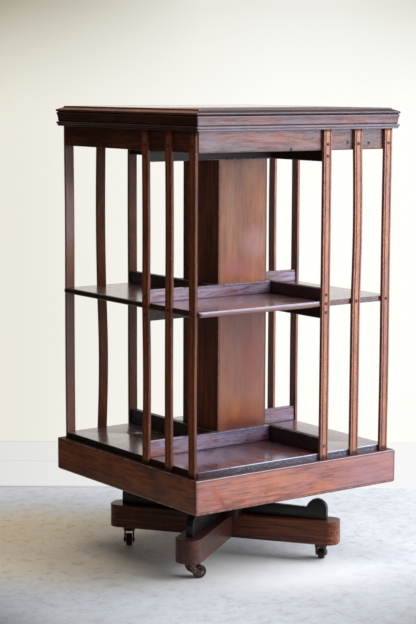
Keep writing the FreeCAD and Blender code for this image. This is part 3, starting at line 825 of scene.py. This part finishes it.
class BOOKCASE_OT_top(bpy.types.Operator):
    """Make the top: a flat field inside four mitred margins that slope to a thin rounded nosing"""
    bl_idname = "bookcase.top"
    bl_label = "Top board"

    def execute(self, context):
        low, high, tip = top_low[2], top_high[2], top_high[0]
        arris_out = tip - 0.01125
        field_half = arris_out - 0.02
        nose_low, nose_top = low + 0.0017, high - 0.0064
        turn = np.linspace(-pi / 2, pi / 2, 7)
        nose = np.stack([tip - 0.0009 + 0.0009 * np.cos(turn),
                         (nose_low + nose_top) / 2 + (nose_top - nose_low) / 2 * np.sin(turn)], 1)
        slope = np.linspace(0, 1, 7)[1:]
        margin = np.stack([tip - 0.0012 + (arris_out + 0.0014 - tip) * slope,
                           nose_top + 0.0002 + (high - 0.0026 - nose_top) * slope], 1)
        profile = np.concatenate([
            [(field_half, low), (tip - 0.003, low), (tip - 0.0026, low + 0.0012)], nose, margin,
            [(arris_out, high - 0.0021), (arris_out - 0.0001, high - 0.0005), (arris_out - 0.0006, high),
             (arris_out - 0.0035, high), (field_half, high)]])
        arris = np.concatenate([[0, -0.6, -1.0], 0.5 * np.abs(np.sin(turn)), [0.2, 0, 0, 0, 0, -0.5],
                                [-0.4, -0.5, -0.6, -0.3, 0.0]])
        boards = Boards()
        for turn, side in enumerate(SIDES):
            points, values = mitred_length(profile, arris, MITRE_EASE)
            # Painted shade: the margins are darkened towards smoke on all sides but the left.
            tone = np.full(len(profile), 0.1 if side == "left" else 0.8)
            if side in ("front", "right"):
                tone[3:6] = 0.85
                tone[7:9] = tone[16:19] = -1.0  # the nosing's upper half and the raised arris: a painted sky reflection
            boards.add(points, side, grain_of(points, "x", 70 + turn), values, tone)
        # The haze of the margins and of the field is partly painted sheen.
        edges = mahogany("top_margin", light=0.35, depth=0.35, coat=0.12, bloom_and_sheen=0.1, specular=0.4)
        boards.finish("top_board_margins", edges, "top_wood", ["top_board"])
        points = np.empty((24, 4, 3))
        points[..., 0] = np.linspace(-field_half, field_half, 24)[:, None]
        points[..., 1:] = [(-field_half, high), (field_half, high), (field_half, low), (-field_half, low)]
        field = mahogany("top_field", light=0.34, depth=0.4, gloss=0.12, coat=1.0, bloom_and_sheen=0.4,
                         haze=(0.12, 0.085, 0.09))
        boards = Boards().add(points, "front", grain_of(points, "x", 75), 0.0)
        boards.finish("top_board_field", field, "top_wood", [])
        return {"FINISHED"}


class BOOKCASE_OT_frieze(bpy.types.Operator):
    """Make the four frieze boards under the cornice"""
    bl_idname = "bookcase.frieze"
    bl_label = "Frieze"

    def execute(self, context):
        thickness = frieze_high[1] - frieze_low[1]
        corners = rectangle(-case_half, -case_half + thickness, frieze_low[2], frieze_high[2])
        outline, arris = eased_outline(corners, [0.0012, 0.0008, 0.0004, 0.0004])
        points, values = carried(outline, arris * -0.5, -case_half, case_half - thickness, "x", 0.0004)
        grid = (points, values, PLAIN)
        # The front board is the lit copy, with haze that is partly painted sheen; the others are darker, as
        # painted shade.
        four_boards("frieze", "x", 80, [grid], dict(light=0.5, depth=0.3, bloom_and_sheen=0.8, marks=[
            (-0.018, 0.7985, 0.0042, 0.005, 0.0, 1.0, PIT),
            (-0.058, 0.7975, 0.016, 0.0016, 0.0, 0.8, (0.03, 0.02, 0.018)),
            # A pale lilac patch at the left end: painted sheen.
            (-0.2, 0.82, 0.034, 0.04, 0.0, 0.2, (0.25, 0.2, 0.24)),
            (-0.085, 0.822, 0.1, 0.014, 0.0, 0.25, (0.36, 0.12, 0.06)),
            (0.15, 0.822, 0.09, 0.034, 0.0, 0.45, (0.075, 0.062, 0.058)),
            (0.1155, 0.809, 0.0042, 0.0042, 0.0, 1.0, PIT), (0.167, 0.807, 0.0042, 0.0042, 0.0, 1.0, PIT)]),
            dict(light=0.4, depth=0.6), gloss=0.36, coat=0.2, streaks=0.55, lines=0.6,
            haze=(0.108, 0.078, 0.074))
        return {"FINISHED"}


class BOOKCASE_OT_column(bpy.types.Operator):
    """Make the square hollow column of four upright boards"""
    bl_idname = "bookcase.column"
    bl_label = "Column"

    def execute(self, context):
        radius, half = 0.0014, column_half
        inner, flat = half - 0.015, half - radius
        turn = np.linspace(0, pi / 4, 4)
        right = np.stack([flat + radius * np.sin(turn), -flat - radius * np.cos(turn)], 1)
        near = [(SLIGHT - flat, -half), (0.006 - half, -half), (half - 0.006, -half), (flat - SLIGHT, -half)]
        outline = np.concatenate([right[::-1] * (-1, 1), near, right, [(inner, -inner), (-inner, -inner)]])
        arris = np.concatenate([np.ones(4), [0.85, 0, 0, 0.85], np.ones(4), [0, 0]])
        points, values = carried(outline, arris, column_low[2], column_high[2], "z",
                                 sections=stage_values().stations - 2)
        # The front board is the lit copy, with haze that is partly painted sheen; the others are darker, as
        # painted shade.
        front = dict(light=0.68, depth=0.04, coat=0.12, run=0.12, bloom_and_sheen=0.4, specular=0.4,
                     tint=(0.3, (0.44, 0.2, 0.07)), marks=[
            # The pink grey patches at 0.4, 0.568 and 0.615 are partly cloudy polish and partly painted sheen.
            (0.0, 0.4, 0.11, 0.17, 0.0, 0.45, (0.24, 0.105, 0.1)),
            (0.0, 0.262, 0.095, 0.055, 0.0, 0.85, (0.1, 0.016, 0.012)),
            # A dark band at the top, under the top rails: painted shade.
            (0.0, 0.785, 0.07, 0.022, 0.0, 0.6, colours().deep),
            (0.0, 0.292, 0.09, 0.03, 0.0, 0.55, (0.34, 0.095, 0.02)),
            (-0.014, 0.3, 0.016, 0.03, 0.1, 0.55, (0.4, 0.15, 0.03)),
            (-0.015, 0.568, 0.07, 0.024, 0.0, 0.7, (0.33, 0.09, 0.075)),
            (0.026, 0.615, 0.04, 0.04, 0.0, 0.55, (0.4, 0.21, 0.2)),
            # A lighter orange patch near the top: partly figure, partly a painted highlight.
            (0.016, 0.758, 0.024, 0.045, 0.0, 0.5, (0.52, 0.25, 0.1)),
            (-0.03, 0.69, 0.012, 0.09, 0.0, 0.35, (0.4, 0.24, 0.14)),
            (-0.037, 0.45, 0.008, 0.01, 0.0, 0.5, (0.12, 0.1, 0.11)),
            (0.022, 0.4, 0.022, 0.09, 0.0, 0.4, (0.3, 0.055, 0.03))])
        four_boards("column", "z", 90, [(points, values, PLAIN)], front,
                    dict(light=0.4, depth=0.3, coat=0.2, run=0.03), streaks=0.3, lines=0.15,
                    haze=(0.22, 0.12, 0.065))
        return {"FINISHED"}


class BOOKCASE_OT_rails(bpy.types.Operator):
    """Make the sixteen low rails that part the bays, four at each level"""
    bl_idname = "bookcase.rails"
    bl_label = "Rails"

    def execute(self, context):
        free = 0.0016
        # Painted light and shade: the rails in shade, under the shelf and under the top, are tinted nearly
        # black, and those in the light get haze that is partly painted sheen.
        shaded = dict(light=0.4, gloss=0.5, coat=0.0, specular=0.3,
                      tint=(0.75, (0.034, 0.036, 0.024)), haze=(0.2, 0.178, 0.28))
        lit = dict(light=0.3, depth=0.3, gloss=0.3, coat=0.5, bloom_and_sheen=1.0)
        looks = {"rails_bottom": dict(lit, haze=(0.2, 0.178, 0.28)),
                 "rails_below_shelf": dict(shaded, depth=0.5),
                 "rails_above_shelf": dict(lit, haze=(0.27, 0.225, 0.33)),
                 "rails_top": dict(shaded, depth=0.9)}
        # Painted shade: the right and left boards, which face away from the light, are darkened towards smoke,
        # the back ones a little.
        tones = {"front": 0.0, "right": 0.93, "back": 0.1, "left": 0.8}
        for level, group in enumerate(RAILS):
            low, high = span(group)
            upright = group in ("rails_bottom", "rails_above_shelf")
            radii = np.repeat([SLIGHT, free] if upright else [free, SLIGHT], 2)
            outline, arris = eased_outline(rectangle(-rail_outer, -column_half, low[2], high[2]), radii)
            arris[np.repeat(radii, len(arris) // 4) == SLIGHT] *= -0.9
            boards = Boards()
            for turn, side in enumerate(SIDES):
                points, values = carried(outline, arris, -case_half, column_half, "x", SLIGHT,
                                         stage_values().stations // 2)
                boards.add(points, side, grain_of(points, "x", 100 + 4 * level + turn), values, tones[side])
            boards.finish(group + "_polished", mahogany(group + "_wood", streaks=0.6, **looks[group]),
                          "rail_wood", [group])
        return {"FINISHED"}


class BOOKCASE_OT_shelves(bpy.types.Operator):
    """Make the four boards of the middle shelf, each with a rounded nosing along its open bay"""
    bl_idname = "bookcase.shelves"
    bl_label = "Middle shelf"

    def execute(self, context):
        low, high = shelf_low[2], shelf_high[2]
        outline, arris = eased_outline(rectangle(-case_half, -column_half, low, high), 0.0005)
        turns = np.linspace(-pi / 2, pi / 2, 11)
        start, end, out = -case_half, slat_low[0] - 0.0026, -shelf_low[1] - case_half
        # The nosing is a flattened half round, drawn in over a length ease at its two ends
        ease, flatness, clear, middle = 0.0044, 0.8, 0.01, 30
        ends = np.linspace(0, pi / 2, 6)
        reach, drawn_in = ease * (1 - np.cos(ends)), np.maximum(np.sin(ends), 0.02)
        share = np.concatenate([drawn_in, np.ones(middle), drawn_in[::-1]])[:, None]
        places = np.concatenate([start + reach, np.linspace(start + clear, end - clear, middle),
                                 (end - reach)[::-1]])
        nosing = np.empty((len(places), len(turns), 3))
        nosing[..., 0] = places[:, None]
        nosing[..., 1] = -case_half - out * np.abs(np.cos(turns)) ** flatness * share
        nosing[..., 2] = shelf_level + (high - low) / 2 * np.sin(turns)
        # Painted light on the nosing: the front one gets a painted highlight on its upper half and is darkened
        # below, the right one a faint painted sky reflection, and the back and left ones are darkened as
        # painted shade.
        lit = np.interp(turns, [0.0, 0.3, 0.7, 1.3], [0.6, 0.3, -1.8, -1.2])
        points, values = carried(outline, arris, -case_half, column_half, "x", 0.0004)
        # Painted shade: the end of each flat board is darkened towards smoke, strongly on the front and left
        # boards.
        held = np.arange(len(points))[:, None] < 6
        grids = [(points, values, (held * 0.93, held * 0.2, held * 0.2, held * 0.93)),
                 (nosing, 0.3 * np.cos(turns), (lit, -0.3, 0.3, 0.94))]
        # The front board is the lit copy, with haze that is partly painted sheen; the others are darker, as
        # painted shade.
        four_boards("shelf", "x", 120, grids, dict(light=0.45, depth=0.12, bloom_and_sheen=0.65, marks=[
            # A bright pink band along the front nosing's lower edge: painted light.
            (-0.05, low, 0.45, 0.0078, 0.0, 0.9, (0.66, 0.24, 0.19))]),
            dict(light=0.4, depth=0.4, bloom_and_sheen=0.25), gloss=0.22, coat=0.8, haze=(0.27, 0.175, 0.2), lines=0.4)
        return {"FINISHED"}


class BOOKCASE_OT_inner_case(bpy.types.Operator):
    """Finish the bottom board, the soffit and the corner blocks"""
    bl_idname = "bookcase.inner_case"
    bl_label = "Bottom board and inner wood"

    def execute(self, context):
        # Its bluish haze is partly painted sheen, and on the lit sides its edges get a painted highlight and
        # painted blue reflection streaks.
        panel = mahogany("bottom_panel", "y", light=0.42, depth=0.3, gloss=0.22, coat=0.7,
                         bloom_and_sheen=0.55, haze=(0.18, 0.165, 0.26), panel=True)
        softened("bottom_board", "bottom_board_polished", sizes().arris, panel)
        give(mahogany("soffit", "x", light=0.35, depth=0.7, gloss=0.5, coat=0.1), "soffit_board")
        give(bare_softwood(), "corner_blocks")
        return {"FINISHED"}


# Base

class BOOKCASE_OT_cross(bpy.types.Operator):
    """Finish the two halved beams and the hub block, and round the edges of the four braces"""
    bl_idname = "bookcase.cross"
    bl_label = "Cross and braces"

    def execute(self, context):
        beam = dict(streaks=0.35, run=0.04, specular=0.35, lines=0.9)
        give(mahogany("beam_side", "side_arm", light=0.34, depth=0.3, gloss=0.38, coat=0.0, **beam),
             "cross_beam_side")
        give(mahogany("beam_front", "front_arm", light=0.14, depth=0.42, coat=0.05,
                      tint=(0.45, (0.055, 0.026, 0.023)), **beam), "cross_beam_front")
        # The hub is tinted nearly black: partly its dark stain, partly painted shade under the case.
        give(mahogany("hub", "side_arm", light=0.3, depth=0.7, gloss=0.5, coat=0.0, specular=0.3,
                      tint=(0.75, (0.014, 0.01, 0.009))), "hub_block")
        stained = ebonised()
        for side in SIDES:
            softened(f"brace_{side}", f"brace_{side}_ebonised", sizes().brace_arris, stained, 3)
        return {"FINISHED"}


class BOOKCASE_OT_castors(bpy.types.Operator):
    """Round the cast edges of the castors and finish their wheels, axles and plates"""
    bl_idname = "bookcase.castors"
    bl_label = "Castors"

    def execute(self, context):
        bronze, black = colours().bronze, (0, 0, 0)
        cast = old_metal("castor_bronze", blended(bronze, (0.35, 0.22, 0.13), 0.3),
                         blended(bronze, black, 0.75), 0.3)
        tread = old_metal("wheel_bronze", blended(bronze, (0.1, 0.035, 0.028), 0.7),
                          blended(bronze, black, 0.88), 0.26)
        pin = old_metal("axle_iron", (0.34, 0.31, 0.28), (0.08, 0.06, 0.045), 0.3)
        give(cast, "castor_plates")
        give(tread, *[f"castor_wheel_{side}" for side in SIDES])
        give(pin, *[f"castor_axle_{side}" for side in SIDES])
        for side in SIDES:
            softened(f"castor_horn_{side}", f"castor_horn_{side}_cast", sizes().metal_arris, cast)
        return {"FINISHED"}


class BOOKCASE_OT_metalwork(bpy.types.Operator):
    """Finish the spindle, its cup and collar, the screws and the slat nails"""
    bl_idname = "bookcase.metalwork"
    bl_label = "Spindle, screws and nails"

    def execute(self, context):
        give(old_metal("spindle_steel", (0.42, 0.4, 0.38), (0.16, 0.12, 0.09), 0.26, 40, 0.15), "spindle")
        give(old_metal("black_iron", (0.09, 0.085, 0.08), (0.03, 0.026, 0.022), 0.5), "pivot_cup")
        give(old_metal("collar_brass", (0.58, 0.4, 0.15), (0.16, 0.1, 0.04), 0.28), "bottom_collar")
        give(old_metal("screw_steel", (0.3, 0.28, 0.26), (0.09, 0.06, 0.045), 0.36),
             "base_screws", "bearing_screws")
        give(old_metal("nail_heads", (0.36, 0.32, 0.24), (0.04, 0.032, 0.024), 0.2, 120), "slat_nails")
        return {"FINISHED"}


# Stage. The camera's place, in metres, and its three angles were solved on the case's edges.

view_azimuth = radians(-36.04)
view_elevation = radians(7.65)
view_roll = radians(0.21)
camera_place = Vector((-1.95998, -2.63956, 0.91859))
LENS = 98.755
view_right = Vector((cos(view_azimuth), sin(view_azimuth), 0))
view_ahead = Vector((-sin(view_azimuth), cos(view_azimuth), 0))
SKIRTING_TOP = 0.1065
SKIRTING_STEP = 0.062


def stage_mesh(name, points, material):
    """An open grid for the floor, the wall or the window."""
    rows, columns = points.shape[:2]
    first = np.arange(rows - 1)[:, None] * columns + np.arange(columns - 1)[None, :]
    quads = np.stack([first, first + 1, first + columns + 1, first + columns], -1).reshape(-1, 4)
    mesh = bpy.data.meshes.new(name)
    mesh.from_pydata(points.reshape(-1, 3).tolist(), [], quads.tolist())
    mesh.materials.append(material)
    thing = linked(name, mesh)
    return thing


def floor_material():
    """Worn pale concrete: broad patches, scuffs, fine grit and small dark pits. A band to the left of the
    foot is warmer, as painted bounce light in its shadow; an oval in front of it is paler, as painted
    light that narrows the lamps' shadow there; and the near edge is dimmer, as painted shade. Diffuse
    light sees one even grey, and gloss less on the far left, where the room is dim."""
    finish = Finish("floor_concrete")
    place = finish.object_space()
    x, y, z = finish.parts(place)
    patches = finish.noise(place, 4.5, 5, 0.62, 0.5)
    scuffs = finish.noise(place, 38, 6, 0.76, 0.3)
    grit = finish.noise(place, 230, 3, 0.65)
    pits = finish.noise(place, 70, 3, 0.6, stretch=(1, 1.6, 1))
    left = x * -view_right.x - y * view_right.y
    deep = x * view_ahead.x + y * view_ahead.y
    # Painted bounce light: a warm tint in the shadow to the left of the foot.
    painted_bounce_light = (left + (patches - 0.5) * 0.5).between(-0.1, 0.3) * deep.between(-0.3, -0.12)
    painted_bounce_light = painted_bounce_light * (1.0 - deep.between(0.22, 0.4))
    # Painted light in front of the foot, over part of the lamps' shadow.
    painted_light_oval = oval((left + 0.08) / 0.3, (deep + 0.14) / 0.18)
    # Painted shade: darker towards the near edge.
    dim = (-deep).between(0.1, 0.55) * (left * left * 5.0 + 0.18)
    camera, glossy, through = finish.rays("Camera", "Glossy", "Transmission")
    base = finish.layers(
        colours().floor, (painted_bounce_light, (0.88, 0.74, 0.53)),
        (patches.between(0.44, 0.6) * (0.6 - painted_bounce_light * 0.35), (0.7, 0.75, 0.82)),
        (scuffs.between(0.52, 0.62) * 0.45, (0.43, 0.39, 0.34)),
        (scuffs.between(0.48, 0.4) * 0.3, (0.78, 0.8, 0.82)),
        (grit.between(0.58, 0.78) * 0.25, (0.4, 0.38, 0.35)),
        (pits.between(0.66, 0.71) * 0.6, (0.2, 0.18, 0.16)),
        (painted_light_oval * 0.75, (0.95, 0.975, 1.0)), (dim.clamped(), (0.02, 0.02, 0.022)))
    base = finish.layers((0.26, 0.25, 0.24), ((camera + glossy + through).clamped(), base),
                         (glossy * left.between(0.45, 1.0), (0.03, 0.025, 0.02)))
    return finish.surface(base, 0.62 + (grit - 0.5) * 0.2, scuffs * 0.6 + grit * 0.4, 0.0006)


def wall_material():
    """Pale wall, dimmer on the left and towards its top corners, with its skirting board drawn on.
    It shows from its front only and leaves the lamps alone."""
    finish = Finish("wall_paint")
    place = finish.object_space()
    x, y, z = finish.parts(place)
    side = x * view_right.x + y * view_right.y
    bright = side.between(-0.62, 0.12) ** 0.8
    rise = z.between(0.8, 1.09)
    corner = (-side).between(0.05, 0.6) * 0.62 + side.between(0.25, 0.6) * 0.22 + 0.22
    drift = finish.noise(place, 2.0, 3, 0.6)
    below = 1.0 - z.between(SKIRTING_TOP - 0.001, SKIRTING_TOP + 0.001)
    skirting = finish.layers((0.7, 0.7, 0.68), (bright, (0.93, 0.935, 0.93)))
    # Painted shade: the seams are shade lines at the skirting's top and its step, fainter where the wall is
    # bright, and the foot is a painted shadow line along the floor where the wall is dim.
    seams = [1.0 - abs(z - level).between(0.0, width)
             for level, width in ((SKIRTING_TOP, 0.0022), (SKIRTING_STEP, 0.0016))]
    foot = (1.0 - z.between(0.0015, 0.0045)) * (1.0 - bright)
    base = finish.layers(
        (0.765, 0.73, 0.63), (bright, (1.0, 1.0, 0.965)),
        ((rise * rise * corner).clamped(), (0.26, 0.225, 0.125)), (below, skirting),
        ((seams[0] + seams[1]).clamped() * (0.28 - bright * 0.2), (0.35, 0.35, 0.33)),
        (foot * 0.75, (0.12, 0.12, 0.11)), (drift.between(0.4, 0.7) * 0.12, (0.8, 0.78, 0.72)))
    behind = finish.node("ShaderNodeNewGeometry", output="Backfacing")
    return finish.ended(finish.node("ShaderNodeMixShader", sockets={
        0: behind, 1: finish.glow("Emission", base), 2: finish.node("ShaderNodeBsdfTransparent")}))


def lamp(name, place, target, width, height, power, tint):
    data = bpy.data.lights.new(name, "AREA")
    data.shape = "RECTANGLE"
    data.size = width
    data.size_y = height
    data.energy = power
    data.color = tint
    thing = linked(name, data)
    thing.location = place
    thing.rotation_euler = (Vector(target) - Vector(place)).to_track_quat("-Z", "Y").to_euler()
    thing.visible_glossy = False


def window_shine():
    """The pale window as polished boards reflect it. Only glossy rays meet it."""
    finish = Finish("window_shine")
    height = finish.parts(finish.object_space())[2]
    strength = (height.between(0.02, 0.25) * 0.5 + 0.5) * stage_values().shine
    material = finish.ended(finish.glow("Emission", (0.7, 0.8, 1.0), strength))
    ahead, across = np.array((0.65, -0.76, 0)), np.array((0.76, 0.65, 0))
    outline = np.array([(0.55, 0.004), (3.2, 0.004), (3.2, 0.15), (3.2, 3.6)])
    points = ahead * outline[:, :1] + across * np.array([1.8, -1.2])[:, None, None]
    points[..., 2] = outline[:, 1]
    panel = stage_mesh("window_shine", points, material)
    panel.visible_camera = panel.visible_diffuse = panel.visible_shadow = panel.visible_transmission = False


def room_world(fill):
    """Soft light from all round. The camera sees a pale room, and gloss a dim one that is darkest
    on the left."""
    world = bpy.data.worlds.new("room")
    bpy.context.scene.world = world
    finish = Finish("room", world)
    x, y, z = finish.parts(finish.node("ShaderNodeTexCoord", output="Generated"))
    right = (x * view_right.x + y * view_right.y).between(-0.9, 0.9)
    front = (x * 0.5 - y * 0.85).between(-0.3, 0.9)
    gloss = finish.layers((0.02, 0.016, 0.012), (right * (1.0 - z.between(0.1, 0.5)), (0.26, 0.29, 0.34)))
    level = finish.layers((0.62, 0.54, 0.45), (front, (2.7, 2.7, 2.75)))
    shader = finish.glow("Background", level, fill)
    for kind, seen in zip(finish.rays("Glossy", "Camera"), (gloss, (0.86, 0.84, 0.77))):
        shader = finish.node("ShaderNodeMixShader", sockets={
            0: kind, 1: shader, 2: finish.glow("Background", seen)})
    finish.ended(shader, "World")


class BOOKCASE_OT_stage(bpy.types.Operator):
    """Make the floor, the wall with its skirting, the lamps, the room's light and the camera"""
    bl_idname = "bookcase.stage"
    bl_label = "Stage"

    def execute(self, context):
        values = stage_values()
        reach = np.linspace(-9, 9, 5)
        stage_mesh("floor", np.stack([*np.meshgrid(reach, reach), np.zeros((5, 5))], -1), floor_material())
        foot = np.array(view_ahead) * values.wall_distance
        wall = np.repeat((foot + np.array(view_right) * np.array([[1.6], [-0.66]]))[:, None], 2, 1)
        wall[..., 2] = (0.0, 2.3)
        backdrop = stage_mesh("wall", wall, wall_material())
        backdrop.visible_shadow = backdrop.visible_diffuse = False
        cool, power, case = (0.98, 0.99, 1.0), values.window_power, (0, 0, 0.45)
        lamp("window_high", (1.9, -2.3, 2.6), case, 2.6, 2.4, power * 0.56, cool)
        lamp("window_low", (1.9, -2.6, 1.0), case, 2.6, 1.6, power * 0.26, cool)
        lamp("ceiling", (-0.3, 0.1, 3.0), (-0.3, 0.1, 0), 2.5, 2.5, power * 0.15, (1.0, 0.95, 0.88))
        window_shine()
        room_world(values.fill)
        data = bpy.data.cameras.new("camera")
        data.sensor_width = 36.0
        data.lens = LENS
        camera = linked("camera", data)
        ahead = view_ahead * cos(view_elevation) - Vector((0, 0, sin(view_elevation)))
        up = view_right.cross(ahead)
        across = view_right * cos(view_roll) + up * sin(view_roll)
        above = up * cos(view_roll) - view_right * sin(view_roll)
        turn = Matrix((across, above, -ahead)).transposed().to_4x4()
        camera.matrix_world = Matrix.Translation(camera_place) @ turn
        context.scene.camera = camera
        context.scene.view_settings.view_transform = "Standard"
        return {"FINISHED"}


OPERATORS = (BOOKCASE_OT_stage, BOOKCASE_OT_slats, BOOKCASE_OT_skirt, BOOKCASE_OT_cornice, BOOKCASE_OT_top,
             BOOKCASE_OT_frieze, BOOKCASE_OT_column, BOOKCASE_OT_rails, BOOKCASE_OT_shelves,
             BOOKCASE_OT_inner_case, BOOKCASE_OT_cross, BOOKCASE_OT_castors, BOOKCASE_OT_metalwork)
GROUPS = {"bookcase_sizes": BookcaseSizes, "bookcase_colours": BookcaseColours,
          "bookcase_stage": BookcaseStage}


class BOOKCASE_PT_panel(bpy.types.Panel):
    """Lists the bookcase's pieces, sizes and colours"""
    bl_idname = "BOOKCASE_PT_panel"
    bl_label = "Revolving Bookcase"
    bl_space_type = "VIEW_3D"
    bl_region_type = "UI"
    bl_category = "Bookcase"

    def draw(self, context):
        for key in GROUPS:
            group = getattr(context.scene, key)
            box = self.layout.box()
            for name in group.bl_rna.properties.keys():
                if name not in ("rna_type", "name"):
                    box.prop(group, name)
        for operator in OPERATORS:
            self.layout.operator(operator.bl_idname)


CLASSES = (*GROUPS.values(), *OPERATORS, BOOKCASE_PT_panel)


def register():
    for made in CLASSES:
        bpy.utils.register_class(made)
    for key, group in GROUPS.items():
        setattr(bpy.types.Scene, key, PointerProperty(type=group))


def unregister():
    for key in GROUPS:
        delattr(bpy.types.Scene, key)
    for made in reversed(CLASSES):
        bpy.utils.unregister_class(made)


def main():
    register()
    for operator in OPERATORS:
        getattr(bpy.ops.bookcase, operator.bl_idname.split(".")[1])()


if __name__ == "__main__":
    main()
